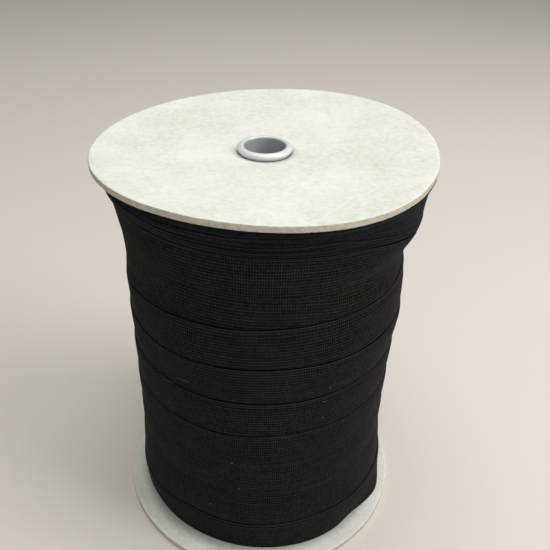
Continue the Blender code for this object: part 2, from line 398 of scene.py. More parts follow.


# %% [markdown]
# ## Pulp board
#
# The faces are pale, matt and slightly mottled, because pulp dries unevenly, and a few dark specks of
# old paper show. Noise at two scales mixes near creams, and stretched noise gives short fibres.
# The lower board gets painted shade beside the winding, so it is greyer and darker towards the winding's
# foot.
# The cut edge is darker and shows layers, so it gets a finish of its own with bands along the height.

# %% Mix the board finishes
FACE_TONES = [(0.34, (0.635, 0.642, 0.575)), (0.5, (0.728, 0.736, 0.682)), (0.66, (0.80, 0.805, 0.763))]
CUT_TONES = [(0.33, (0.408, 0.371, 0.300)), (0.5, (0.524, 0.482, 0.398)), (0.68, (0.636, 0.603, 0.515))]
SPECK_TONE = (0.30, 0.27, 0.21, 1.0)
# Painted shade on the lower board beside the winding: its colour, the radii over which it fades in, and the
# height below which it lies.
FOOT_SHADE_TONE = (0.16, 0.15, 0.14, 1.0)
FOOT_SHADE_FROM, FOOT_SHADE_TO, FOOT_SHADE_BELOW = 70.5 * MM, 64.0 * MM, 20.0 * MM


def board_face_finish():
    finish, shader = new_finish("pulp_board_face", 0.86, 0.2)
    place = node(finish, "TexCoord").outputs["Object"]
    blotch = noise(finish, place, 38.0, 4.0, Roughness=0.55)
    mottle = noise(finish, place, 420.0, 3.0, Roughness=0.6)
    cream = tints(finish, weighed(finish, blotch, 0.5, mottle, 0.5), FACE_TONES)
    dots = node(finish, "TexVoronoi", Vector=place, Scale=330.0, Randomness=1.0)
    small = maths(finish, "LESS_THAN", dots.outputs["Distance"], 0.12)
    chance_of_dot = node(finish, "SeparateColor", Color=dots.outputs["Color"]).outputs[0]
    rare = maths(finish, "GREATER_THAN", chance_of_dot, 0.93)
    speck = times(finish, times(finish, small, rare), 0.5)
    specked = mixed_colour(finish, speck, cream, SPECK_TONE)
    height = node(finish, "SeparateXYZ", Vector=place).outputs[2]
    # Painted shade: the lower board darkens towards the foot of the winding, which shades it.
    low_board = maths(finish, "LESS_THAN", height, FOOT_SHADE_BELOW)
    beside = ranged(finish, from_axis(finish, place), FOOT_SHADE_FROM, FOOT_SHADE_TO)
    foot_shade = times(finish, times(finish, beside, low_board), 0.55)
    feed(finish, shader.inputs["Base Color"], mixed_colour(finish, foot_shade, specked, FOOT_SHADE_TONE))
    fibre = noise(finish, place, (2600.0, 520.0, 900.0), 3.0, Distortion=1.2)
    relief(finish, shader, 0.22, 0.25 * MM, weighed(finish, fibre, 0.6, mottle, 0.8))
    return finish


def board_edge_finish():
    finish, shader = new_finish("pulp_board_cut", 0.95, 0.1)
    place = node(finish, "TexCoord").outputs["Object"]
    layers = noise(finish, place, (520.0, 520.0, 1500.0), 4.0, Roughness=0.65)
    grit = noise(finish, place, 900.0, 3.0)
    mixed = weighed(finish, layers, 0.65, grit, 0.35)
    feed(finish, shader.inputs["Base Color"], tints(finish, mixed, CUT_TONES))
    relief(finish, shader, 0.6, 0.3 * MM, mixed)
    return finish


board_face = board_face_finish()
board_cut = board_edge_finish()
print("board finishes:", board_face.name, board_cut.name)

# %% Fit both boards
TOP_DENTS = [
    # radius in mm, angle in degrees, size and depth in mm
    (66.0, 172.0, 3.2, 0.22), (60.0, 176.0, 2.2, 0.16), (62.0, -174.0, 2.6, 0.18),
    (70.0, -100.0, 4.0, 0.10), (48.0, 40.0, 9.0, 0.12),
]
LOW_DENTS = [(71.0, -128.0, 3.0, 0.15), (70.0, -60.0, 3.0, 0.10)]
BOARDS = [
    # name, height of the underside, lift, seed, dents, the solid it stands for
    ("board_top", TOP_BOARD_UNDER, top_lift, 7, TOP_DENTS, "flange_top"),
    ("board_bottom", 0.0, bottom_lift, 23, LOW_DENTS, "flange_bottom"),
]
for name, under, lift, seed, dents, solid in BOARDS:
    board = build_board(name, under, lift, seed, dents)
    add_piece(name, board, [board_face, board_cut], "grey_board", solid)

# %% [markdown]
# ## The plastic tube
#
# The tube runs through both boards. Each end is rolled outwards while hot, into a round glossy lip
# that holds the board. Its highest place is nearer the bore, from where it slopes outwards.
# An outline with a part circle at each end, leaned towards the bore and turned round the axis, gives this.

# %% Turn the tube
TUBE_COLUMNS = 128
BORE_RADIUS = 9.0 * MM
TUBE_OUTER = 11.4 * MM
LIP_RADIUS = 12.2 * MM
LIP_HEIGHT = 3.0 * MM
LIP_GAP = 0.3 * MM
LIP_STEPS = 18
LIP_HALF_TURNS = 1.35
LIP_SKEW = 0.32
BORE_ROWS = 12


def lip_outline(board_height, outwards):
    """The rolled end, from the bore's wall to the tube's outside. outwards is 1 at the top, -1 below."""
    start = board_height + outwards * LIP_GAP
    half_height = (LIP_HEIGHT - LIP_GAP) / 2
    turn = math.pi * (1 - LIP_HALF_TURNS * np.arange(LIP_STEPS + 1) / LIP_STEPS)
    towards_bore = LIP_SKEW * np.maximum(np.sin(turn), 0.0)
    middle, half_width = (BORE_RADIUS + LIP_RADIUS) / 2, (LIP_RADIUS - BORE_RADIUS) / 2
    radii = middle + half_width * np.cos(turn + towards_bore)
    heights = start + outwards * half_height * (1 + np.sin(turn))
    return np.append(radii, [TUBE_OUTER + 0.35 * MM, TUBE_OUTER]), np.append(heights, [start, start])


top_face = TOP_BOARD_UNDER + BOARD_THICKNESS + top_lift(LIP_RADIUS, math.radians(50))
upper_radii, upper_heights = lip_outline(top_face, 1)
lower_radii, lower_heights = lip_outline(bottom_lift(LIP_RADIUS, 0.0), -1)
bore_radii = np.full(BORE_ROWS, BORE_RADIUS)
bore_heights = np.linspace(lower_heights[0], upper_heights[0], BORE_ROWS + 2)[1:-1]
tube_radii = np.concatenate([upper_radii, lower_radii[::-1], bore_radii])
tube_heights = np.concatenate([upper_heights, lower_heights[::-1], bore_heights])
tube_angles = np.linspace(-math.pi, math.pi, TUBE_COLUMNS, endpoint=False)[:, None]
tube_grid = grid_of(*np.broadcast_arrays(tube_radii, tube_angles, tube_heights))
tube_mesh = mesh_of_grids("tube", [tube_grid], joined=True)
print("tube from", round(lower_heights.min() / MM, 2), "to", round(upper_heights.max() / MM, 2), "mm")

# %% [markdown]
# ## White plastic
#
# Moulded polystyrene is glossy, a little translucent and never quite clean.
# Very fine scratches change its roughness, and a faint waviness bends its highlights.
# The wall of the bore is painted a darker grey than the lip, as painted shade inside the bore. The distance
# from the axis tells the wall from the lip.

# %% Finish the tube
PLASTIC_TONES = [(0.3, (0.63, 0.66, 0.66)), (0.7, (0.715, 0.735, 0.735))]
# Painted shade inside the bore: the greys of its wall, from just under the top lip to lower down.
BORE_SHADE_TONES = [(0.0, (0.36, 0.385, 0.39)), (1.0, (0.47, 0.50, 0.51))]
plastic, plastic_shader = new_finish("white_moulded_plastic", 0.28, 0.5)
for setting, value in {"Subsurface Weight": 0.08, "Subsurface Radius": (0.001, 0.001, 0.0012),
                       "Coat Weight": 0.6, "Coat Roughness": 0.08}.items():
    plastic_shader.inputs[setting].default_value = value
plastic_place = node(plastic, "TexCoord").outputs["Object"]
plastic_haze = noise(plastic, plastic_place, 160.0, 3.0)
plastic_tint = tints(plastic, plastic_haze, PLASTIC_TONES)
height_there = node(plastic, "SeparateXYZ", Vector=plastic_place).outputs[2]
# Painted shade: the wall of the bore is tinted darker than the lip, changing with height.
deeper = ranged(plastic, height_there, 197.5 * MM, 185.0 * MM)
bore_shade = tints(plastic, deeper, BORE_SHADE_TONES)
in_bore = ranged(plastic, from_axis(plastic, plastic_place), BORE_RADIUS + 0.55 * MM, BORE_RADIUS + 0.05 * MM)
feed(plastic, plastic_shader.inputs["Base Color"], mixed_colour(plastic, in_bore, plastic_tint, bore_shade))
scratches = noise(plastic, plastic_place, (300.0, 300.0, 4200.0), 4.0)
feed(plastic, plastic_shader.inputs["Roughness"], scaled(plastic, scratches, 0.2, 0.1))
relief(plastic, plastic_shader, 0.12, 0.2 * MM, plastic_haze)
add_piece("tube", tube_mesh, [plastic], "white_plastic", "core_tube")

# %% [markdown]
# ## The form of the winding
#
# Elastic is stretchy, so a wound reel isn't a clean cylinder. This one flares at the top, has a waist on
# one side and a loose last lap at the foot. The table is the solid model's: for each lap, the height of
# its upper edge and the outer radius at its top and bottom, at the left and at the right of the reel.
# Between these places a value runs smoothly.

# %% Repeat the solid's laps
LEFT_ANGLE = -165.0
FRONT, RIGHT, CROSS_START, BACK, CROSS_END = 75 / 360, 150 / 360, 215 / 360, 255 / 360, 305 / 360
FLAT = 50 / 360
RIM_TOP = 2.8
PLAIN_RADIUS = 66.0
SOLID_LAPS = [
    # edge left, front, right; top radius left, right; low radius left, right; flatness; belly
    (236.0, 236.0, 236.0, 71.6, 74.6, 71.4, 74.6, 0.8, 0.25),
    (212.0, 212.0, 212.0, 71.2, 74.6, 69.8, 71.5, 0.8, 0.25),
    (187.0, 184.5, 173.0, 69.8, 71.7, 69.2, 67.9, 0.8, 0.25),
    (185.0, 178.3, 163.5, 69.5, 67.7, 64.5, 65.6, 1.0, -0.9),
    (163.0, 159.8, 147.5, 64.8, 66.3, 64.2, 66.0, 1.0, 0.25),
    (145.0, 143.0, 142.0, 64.6, 66.9, 64.3, 67.6, 1.0, 0.25),
    (122.7, 122.5, 122.0, 64.8, 68.1, 63.9, 65.7, 1.2, 0.25),
    (102.5, 102.4, 102.2, 64.6, 66.5, 64.0, 65.4, 1.3, 0.25),
    (82.8, 82.8, 82.4, 64.5, 66.0, 64.0, 65.3, 1.4, 0.25),
    (63.4, 63.4, 63.2, 64.4, 65.7, 64.2, 65.2, 1.6, 0.25),
    (43.6, 43.6, 43.4, 64.6, 65.6, 65.8, 67.9, 2.6, 0.25),
    (21.5, 21.5, 21.3, 66.5, 68.6, 66.0, 67.0, 3.8, 0.25),
    (-9.0, -9.0, -9.0, 66.0, 67.0, 66.0, 67.0, 3.8, 0.25),
    (-30.0, -30.0, -30.0, 66.0, 67.0, 66.0, 67.0, 3.8, 0.25),
]
LOOSE_LAP, LOOSE_ANGLE, LOOSE_SPREAD, LOOSE_BULGE = 11, -22.0, 13.0, 2.9


def between(keys, turns):
    """Smooth values at turn counts, from (turn, value) keys in order."""
    places, values = np.array(keys).T
    after = np.clip(np.searchsorted(places, turns), 1, len(places) - 1)
    share = smooth_step((turns - places[after - 1]) / (places[after] - places[after - 1]))
    return values[after - 1] + (values[after] - values[after - 1]) * share


def solid_keys():
    """The keys of the edge height, the top and low radius and the belly, over all the turns."""
    edge, top, low, belly = [], [], [], []
    for lap, numbers in enumerate(SOLID_LAPS):
        left, front, side, top_left, top_side, low_left, low_side, flat, out = numbers
        edge += [(lap, left), (lap + FRONT, front), (lap + RIGHT, side), (lap + CROSS_START, side)]
        if lap + 1 < len(SOLID_LAPS):
            edge.append((lap + CROSS_END, SOLID_LAPS[lap + 1][0]))
        for keys, at_left, at_side in ((top, top_left, top_side), (low, low_left, low_side)):
            middle = (at_left + at_side) / 2
            keys += [(lap, at_left), (lap + FLAT, middle - flat)]
            keys += [(lap + RIGHT, at_side), (lap + BACK, middle + flat / 4)]
        belly += [(lap + 0.2, out), (lap + 0.8, out)]
    return edge, top, low, belly


EDGE_KEYS, TOP_KEYS, LOW_KEYS, BELLY_KEYS = solid_keys()


def solid_radius(turn_share, heights):
    """The solid's outer radius in mm at shares of a turn and heights in mm, one row for each column."""
    found = np.full(heights.shape, PLAIN_RADIUS)
    for lap in range(len(SOLID_LAPS) - 1):
        turns = lap + turn_share
        top, low = RIM_TOP + between(EDGE_KEYS, turns), RIM_TOP + between(EDGE_KEYS, turns + 1)
        share = (top - heights) / np.where(top == low, np.nan, top - low)
        inside = (share >= 0) & (share <= 1)
        top_radius, low_radius = between(TOP_KEYS, turns), between(LOW_KEYS, turns)
        radius = top_radius + (low_radius - top_radius) * share
        radius = radius + between(BELLY_KEYS, turns) * np.sin(math.pi * np.clip(share, 0, 1))
        if lap == LOOSE_LAP:
            angle = LEFT_ANGLE + 360 * turn_share
            away = (angle - LOOSE_ANGLE) / LOOSE_SPREAD
            radius = radius + LOOSE_BULGE * share * np.exp(-(away ** 2))
        found = np.where(inside, radius, found)
    return found


def skin_radius(turn_share, heights):
    """The same, with the small steps between laps smoothed out."""
    return sum(solid_radius(turn_share, heights + shift) for shift in (-1.6, -0.8, 0.0, 0.8, 1.6)) / 5


sample = skin_radius(np.array([[0.0], [FRONT], [RIGHT]]), np.full((3, 1), 100.0))
print("radius at 100 mm high, left, front and right:", np.round(sample.ravel(), 2))

# %% [markdown]
# ## Where each tape edge shows
#
# The dressed winding shows more edges than the solid: near the top, four turns of tape lie almost on each
# other, and their edges fan out like the pages of a book. Each entry below is one turn of tape, from
# the top down. Its edge is given at a few angles round the front, and a smooth curve joins them.

# %% List the tape edges
TAPES = [
    # width in mm of the groove above the edge, how clear the edge is at the left, front and right,
    # and (angle, height in mm above the lower board) along it
    (0.25, (0.8, 0.9, 0.9), [
        (-165, 187.6), (-127, 186.3), (-108, 185.2), (-90, 184.9), (-73, 185.4), (-65, 185.0),
        (-58, 183.3), (-49, 180.9), (-42, 178.3), (-30, 175.2), (-15, 173.0)]),
    (0.90, (0.6, 0.75, 0.7), [
        (-165, 185.6), (-127, 184.4), (-108, 183.6), (-90, 182.4), (-79, 182.9), (-73, 183.6),
        (-66, 184.0), (-58, 182.3), (-49, 179.7), (-42, 177.2), (-30, 173.9), (-15, 171.4)]),
    (0.60, (0.7, 0.8, 0.8), [
        (-165, 183.0), (-127, 182.0), (-108, 181.8), (-90, 180.9), (-79, 180.5), (-70, 180.1),
        (-57, 179.4), (-42, 176.3), (-30, 172.8), (-15, 169.8)]),
    (0.70, (0.7, 1, 1), [
        (-165, 180.6), (-127, 179.7), (-108, 179.8), (-90, 179.5), (-79, 179.3), (-70, 178.9),
        (-57, 178.4), (-42, 175.3), (-30, 171.8), (-15, 168.4)]),
    (0.15, (0.2, 0.35, 0.4), [
        (-165, 160.8), (-90, 159.4), (-77, 158.8), (-60, 156.4), (-15, 155.0)]),
    (0.70, (1, 1, 1), [
        (-165, 139.3), (-155, 139.8), (-146, 141.0), (-134, 141.7), (-120, 142.5), (-99, 143.1),
        (-76, 144.3), (-61, 144.6), (-43, 145.0), (-27, 145.9), (-15, 147.8)]),
    (0.85, (0.9, 1, 1), [
        (-165, 121.2), (-131, 121.1), (-113, 121.8), (-99, 122.5), (-76, 123.4), (-62, 123.1),
        (-15, 122.8)]),
    (0.85, (0.8, 1, 0.8), [
        (-165, 102.0), (-135, 101.7), (-107, 101.7), (-98, 102.1), (-75, 102.6), (-62, 103.1),
        (-15, 103.2)]),
    (0.75, (0.7, 0.9, 0.7), [
        (-165, 81.0), (-128, 81.2), (-106, 81.0), (-98, 81.6), (-74, 82.9), (-15, 82.6)]),
    (0.25, (0.1, 0.5, 0.4), [
        (-165, 63.0), (-90, 63.4), (-15, 63.2)]),
    (0.30, (0.1, 0.5, 0.5), [
        (-165, 43.5), (-107, 42.5), (-90, 42.2), (-72, 42.3), (-51, 41.6), (-15, 41.5)]),
    (0.90, (0.9, 1, 1), [
        (-165, 15.7), (-150, 16.2), (-138, 17.6), (-121, 18.8), (-99, 18.4), (-90, 18.9),
        (-72, 20.6), (-51, 21.0), (-38, 20.7), (-15, 21.0)]),
    (0.95, (1, 1, 0.8), [
        (-165, 14.8), (-152, 15.2), (-140, 15.9), (-126, 16.6), (-109, 16.4), (-90, 16.7),
        (-72, 18.5), (-51, 19.3), (-38, 19.1), (-15, 19.4)]),
]
# The tape's lowest height in mm, and the degrees at which and over which an edge runs on at the right.
FOOT = 3.15
SIDE_ANGLE, RUN_ON = 14.0, 15.0


def eased(places, values, wanted):
    """A curve through the points that never overshoots: straight between them with softened corners."""
    slopes = np.diff(values) / np.diff(places)
    tangents = np.zeros(len(values))
    same = slopes[:-1] * slopes[1:] > 0
    tangents[1:-1][same] = 2 * slopes[:-1][same] * slopes[1:][same] / (slopes[:-1][same] + slopes[1:][same])
    after = np.clip(np.searchsorted(places, wanted), 1, len(places) - 1)
    width = places[after] - places[after - 1]
    t = np.clip((wanted - places[after - 1]) / width, 0, 1)
    h = smooth_step(t)
    start, end = tangents[after - 1] * width, tangents[after] * width
    return values[after - 1] * (1 - h) + values[after] * h + start * t * (1 - t) ** 2 - end * t * t * (1 - t)


def edge_line(tape, shares):
    """Heights in mm of a tape's upper edge, at shares of a turn from the left. It steps down at the back."""
    keys = list(TAPES[tape][2])
    next_left = TAPES[tape + 1][2][0][1] if tape + 1 < len(TAPES) else FOOT - RIM_TOP
    (angle_before, height_before), (last_angle, last_height) = keys[-2:]
    side = last_height + 0.5 * (last_height - height_before) * RUN_ON / (last_angle - angle_before)
    keys += [(SIDE_ANGLE, side), (LEFT_ANGLE + 360 * CROSS_START, side)]
    keys += [(LEFT_ANGLE + 360 * CROSS_END, next_left), (LEFT_ANGLE + 360, next_left)]
    places, values = np.array(keys, float).T
    return RIM_TOP + eased(places, values, LEFT_ANGLE + 360 * shares)


def edge_force(tape, shares):
    """How clearly a tape's edge stands out, from 0 to 1. At the left it becomes the next tape's."""
    if not 0 <= tape < len(TAPES):
        return 0.6 + 0 * shares
    left, front, right_side = TAPES[tape][1]
    next_left = TAPES[min(tape + 1, len(TAPES) - 1)][1][0]
    at_back = (right_side + next_left) / 2
    keys = [(0, left), (FRONT, front), (RIGHT, right_side), (BACK, at_back), (1, next_left)]
    return between(keys, shares)


def groove_width(tape, shares):
    """How wide in mm the groove above a tape's edge is. At the left it becomes the next tape's groove."""
    next_width = TAPES[min(tape + 1, len(TAPES) - 1)][0]
    return between([(0, TAPES[tape][0]), (RIGHT, TAPES[tape][0]), (1, next_width)], shares)


front_edge = float(edge_line(0, np.array([FRONT]))[0])
print("tapes:", len(TAPES), "first edge at the front:", round(front_edge, 1), "mm")

# %% [markdown]
# ## One turn of woven tape
#
# Woven elastic is a grid: cords of covered rubber run along it, and a yarn crosses over and under them.
# Each crossing is a small pillow with a pit at each corner. Real relief catches light along the edges
# of the reel, where a flat picture of a weave wouldn't, so every cell gets its own points:
# a pit, two valleys and a crown. The tape has a thickness, a rounded selvedge along its upper edge, and its
# lower part dives under the next turn.

# %% Set the weave's sizes
CELLS_ROUND = 408
COLUMNS = 2 * CELLS_ROUND
RIB_HALF = 0.8
PIT, VALLEY, CROWN = -0.22, -0.06, 0.08
TAPE_THICKNESS = 0.8
PROUD, SUNK = 0.25, -0.2
# In mm: the first row's way down, how far a turn tucks under the next, and how deep it lies there.
FIRST_ROW, TUCK = 0.3, 1.8
STEP_UNDER, DEEP_UNDER, INNER_SIDE = -0.95, -1.25, -1.9
SELVEDGE = [
    # down from the edge and out from its proud surface in mm, and 1 where it follows the yarns
    (0.10, -0.78, 0), (-0.08, -0.58, 1), (-0.12, -0.30, 1), (0.02, -0.07, 1),
]
shares = np.arange(COLUMNS + 1)[:, None] / COLUMNS
angles = np.radians(LEFT_ANGLE + 360 * shares)
column_odd = (np.arange(COLUMNS + 1) % 2)[:, None]
away_from_seam = smooth_step(shares * 24) * smooth_step((1 - shares) * 24)
print("cells in a turn:", CELLS_ROUND, "each", round(2 * math.pi * 65 / CELLS_ROUND, 2), "mm long")

# %% Work out the points of one turn
GAP_UNDER_BOARD = 0.45
MOST_RADIUS = 74.7
# Where the tape lies further out or in: how far in mm, the middle and the spread in degrees.
UNDER_BOARD = [(1.8, -165.0, 50.0), (-2.0, 0.0, 40.0)]
AT_FOOT = [(0.7, -8.0, 15.0), (1.0, -21.0, 7.0), (-1.4, -41.0, 9.0), (-1.2, -150.0, 17.0)]


def upper_line(tape):
    """Upper edge of a turn. The one before the first goes up to the underside of the top board."""
    if tape >= 0:
        return edge_line(tape, shares)
    return (TOP_BOARD_UNDER + top_lift(72.0 * MM, angles)) / MM - GAP_UNDER_BOARD


def hump(middle, spread):
    """1 at an angle in degrees, falling to 0 within about two spreads on both sides."""
    away = (np.degrees(angles) - middle + 180) % 360 - 180
    return np.exp(-((away / spread) ** 2))


def humps(places):
    return sum(size * hump(middle, spread) for size, middle, spread in places)


def rising(height, start, length):
    """0 up to a height in mm, then rising smoothly to 1 over a length in mm."""
    return smooth_step((height - start) / length)


def winding_radius(height):
    """The outer radius in mm at heights in mm, one row for each column.

    The tape draws in a little under the top board, lies taut and straight at the front of the upper lap,
    and at the foot the last lap stands away from the reel in one place and is drawn in beside it."""
    squeezed = rising(height, 189.0, 7.0) * humps(UNDER_BOARD)
    squeezed = squeezed - 0.9 * hump(-165.0, 35.0) * np.exp(-(((height - 188.0) / 4.0) ** 2))
    squeezed = squeezed + 1.5 * hump(-155.0, 38.0) * rising(height, 191.0, 6.0)
    taut = smooth_step(1.25 * np.cos(angles - math.radians(-92.0)))
    filled = 0.9 * np.sin(math.pi * np.clip((height - 162.6) / 18.5, 0, 1))
    shaved = 0.85 * rising(height, 165.0, 16.0) * (1 - rising(height, 183.0, 10.0))
    loosened = (1 - rising(height, 4.0, 15.0)) * humps(AT_FOOT)
    radius = skin_radius(shares, height) - squeezed + taut * (filled - shaved) + loosened
    return np.minimum(radius, MOST_RADIUS)


def tape_points(tape):
    """For each column: the upper edge, where the next turn covers it, and its points' way down and out."""
    last = tape + 1 == len(TAPES)
    top = upper_line(tape)
    low = np.minimum(FOOT + 0.05, top - 0.01) if last else edge_line(tape + 1, shares)
    own, following = edge_force(tape, shares), edge_force(tape + 1, shares)
    groove = 0.0 if last else groove_width(tape + 1, shares) * following
    fall = top - low
    lean = winding_radius(top - FIRST_ROW) - winding_radius(low + FIRST_ROW)
    cover = np.sqrt(fall ** 2 + lean ** 2)
    rows = int(math.ceil((cover.max() + (0.0 if last else TUCK)) / RIB_HALF))
    down = FIRST_ROW + RIB_HALF * np.arange(rows + 1) + 0 * shares
    slack = 0.12 * unevenness(360 + tape, angles, 2, 12, 8)
    slack = slack + np.random.default_rng(400 + tape).normal(0.0, 0.05, down.shape)
    down = down + away_from_seam * slack * np.clip(down / 3.0, 0, 1)
    end = cover - groove
    if not last:
        down = np.where(np.abs(down - end) <= RIB_HALF / 2, end, down)
    hidden = (down > end + 0.01) & (not last)
    step_out = PROUD * own + (SUNK * following - PROUD * own) * np.clip(down / cover, 0, 1)
    row_odd = np.arange(rows + 1) % 2
    weave = np.where(row_odd & column_odd, CROWN, np.where(row_odd | column_odd, VALLEY, PIT))
    out = np.where(hidden, DEEP_UNDER, step_out + weave)
    first_hidden = hidden & ~np.roll(hidden, 1, axis=1)
    out = np.where(first_hidden, STEP_UNDER, out)
    # How deep in the groove a point lies, which the finish paints as shade.
    in_groove = np.clip((down - end) / RIB_HALF + 0.5, 0, 1) * following * (not last)
    return top, end, fall / cover, down, out, PROUD * own, in_groove


def strayed(tape, down):
    """How far the points stray along the tape, in cells. No weave is even, but the seams don't stray."""
    drift = 0.37 * tape % 1 + 0.5 * unevenness(300 + tape, angles, 2, 14, 8)
    lean = 0.4 * unevenness(330 + tape, angles, 2, 9, 6) * (down / 10.0 - 1)
    each = np.random.default_rng(430 + tape).normal(0.0, 0.06, down.shape)
    return away_from_seam * (drift + lean + each)


def turn_grid(tape):
    """One turn's grid of points, its texture coordinates, and its marks of painted highlight along the upper
    edge and painted shade in the groove.
    """
    top, end, upright, down, out, proud, in_groove = tape_points(tape)
    rows = down.shape[1] - 1
    level = 0 * shares
    scallop = 0.07 * (1 - column_odd)
    bottom = down[:, -1:]
    below_groove = np.minimum(end + 1.0, bottom - 0.05)
    inner_down = [bottom, below_groove, np.maximum(0.5 * end, 0.7), 0.5 + level]
    inner_out = [INNER_SIDE + level] * 3 + [proud - TAPE_THICKNESS]
    selvedge_down = [edge_down + follows * scallop for edge_down, _, follows in SELVEDGE]
    selvedge_out = [proud + edge_out for _, edge_out, _ in SELVEDGE]
    all_down = np.hstack([*selvedge_down, down, *inner_down])
    all_out = np.hstack([*selvedge_out, out, *inner_out])
    height = np.maximum(top - all_down * upright, FOOT)
    radius = winding_radius(height) + all_out
    cells_round = np.arange(COLUMNS + 1)[:, None] / 2 + 0 * height
    ribs = [np.full(4, -0.3), np.arange(rows + 1) / 2, np.full(4, rows / 2)]
    ribs = np.concatenate(ribs) + 0 * height
    # Painted highlight along the upper edge, where light from above catches the selvedge. It follows how
    # clear the edge is.
    selvedge_highlight = np.zeros(height.shape)
    selvedge_highlight[:, :4] = edge_force(tape, shares) * [0.0, 0.2, 1.0, 1.0]
    # Painted shade: the selvedge's inner rows and the groove rows are darkened, and the hidden inner rows
    # fully.
    shade_under_edge = [1.0, 0.8, 0.1, 0.0] + 0 * all_down[:, :4]
    groove = np.hstack([shade_under_edge, in_groove, 1 + 0 * all_down[:, -4:]])
    turned = angles + strayed(tape, all_down) * 2 * math.pi / CELLS_ROUND
    return grid_of(radius * MM, turned, height * MM), cells_round, ribs, selvedge_highlight, groove


first_grid = turn_grid(4)[0]
print("points in one turn:", first_grid.shape[0], "columns of", first_grid.shape[1])

# %% [markdown]
# ## Putting the turns together
#
# Each turn ends at the left, where the next one starts, so the seams meet.
# The turns are joined into six pieces, from the top one to the foot, which keeps each mesh light.
# The texture coordinates count cells along the tape and ribs across it. The finish uses them to find
# every crossing of the weave. A colour layer named edge_marks holds, in red, how strong the painted
# highlight on the selvedge is, and in green, how deep in a groove the point lies, where shade is painted.

# %% Wind the turns
RIBS_APART = 40.0
LAPS = {
    "elastic_top_laps": range(-1, 3),
    "elastic_upper_laps": range(3, 5),
    "elastic_waist_laps": range(5, 7),
    "elastic_middle_laps": range(7, 9),
    "elastic_lower_laps": range(9, 11),
    "elastic_foot_laps": range(11, 13),
}


def wind(name, tapes):
    """One mesh of several turns, with a UV map that counts cells and a colour layer that marks edges."""
    grids, cells, marks = [], [], []
    for tape in tapes:
        grid, cells_round, ribs, selvedge_highlight, groove = turn_grid(tape)
        grids.append(grid)
        across = ribs + RIBS_APART * (tape + 1)
        cells.append(np.stack([cells_round, across], axis=-1).reshape(-1, 2))
        marks.append(np.stack([selvedge_highlight, groove, 0 * groove, 1 + 0 * groove], axis=-1).reshape(-1, 4))
    mesh = mesh_of_grids(name, grids)
    corners = np.empty(len(mesh.loops), np.int32)
    mesh.loops.foreach_get("vertex_index", corners)
    weave_map = mesh.uv_layers.new(name="weave")
    weave_map.uv.foreach_set("vector", np.concatenate(cells)[corners].astype(np.float32).ravel())
    edge_marks = mesh.attributes.new("edge_marks", "FLOAT_COLOR", "POINT")
    edge_marks.data.foreach_set("color", np.concatenate(marks).astype(np.float32).ravel())
    return mesh


winding_meshes = [wind(name, tapes) for name, tapes in LAPS.items()]
print("faces:", [len(mesh.polygons) for mesh in winding_meshes])

# %% [markdown]
# ## Black woven elastic
#
# Black cloth is never one black. The yarns of the lower turns are a warm brown-black. The upper turns lie in
# the shade of the top board, and that shade is painted as a darker, cooler tone. The pits between yarns get
# painted shade, darker than both. The UV map says where each cell is, so waves of its two counts give the
# pits. The colour layer paints a highlight on the selvedges, where light from above catches them, and
# painted shade in the grooves. Noise breaks up the tone, streaks run along the tape, and a little sheen
# gives the soft light that fibres scatter at a grazing view.

# %% Mix the elastic's finish
TOP_TURNS = 4
LOWER_TONES = [
    (0.36, (0.0099, 0.0095, 0.0087)), (0.5, (0.0109, 0.0097, 0.0085)), (0.66, (0.0124, 0.0105, 0.0091)),
]
# Painted shade: the darker, cooler tone of the upper turns, which lie in the shade of the top board.
TOP_SHADE_TONE = (0.0060, 0.0066, 0.0083, 1.0)
# Painted highlight on the selvedges.
SELVEDGE_HIGHLIGHT_TONE = (0.044, 0.044, 0.044, 1.0)
# Painted shade in the grooves between laps.
GROOVE_SHADE_TONE = (0.001, 0.001, 0.001, 1.0)
# Yarn brightness, the strength of the painted shade in the pits of the weave, and how much less of it the
# upper turns get.
YARN_LIGHT, PIT_SHADE_DEPTH, PIT_SHADE_LESS_HIGH = 2.0, 1.94, 1.2


def weave_pits(finish, counts):
    """1 in each pit between the yarns and 0 on the yarns, which show as a fine light grid."""
    waves = [maths(finish, "COSINE", times(finish, count, 2 * math.pi)) for count in counts]
    along_pit, across_pit = [ranged(finish, wave, -0.85, 0.1) for wave in waves]
    return times(finish, along_pit, across_pit)


def upper_turns(finish, along, across):
    """1 on the turns near the top board, fading to 0 at the back of the last of them."""
    counted = maths(finish, "DIVIDE", maths(finish, "ADD", across, 0.5), RIBS_APART)
    whole_turns = maths(finish, "FLOOR", counted)
    turn = maths(finish, "ADD", whole_turns, maths(finish, "DIVIDE", along, CELLS_ROUND))
    return ranged(finish, turn, TOP_TURNS - 0.08, TOP_TURNS - 0.5)


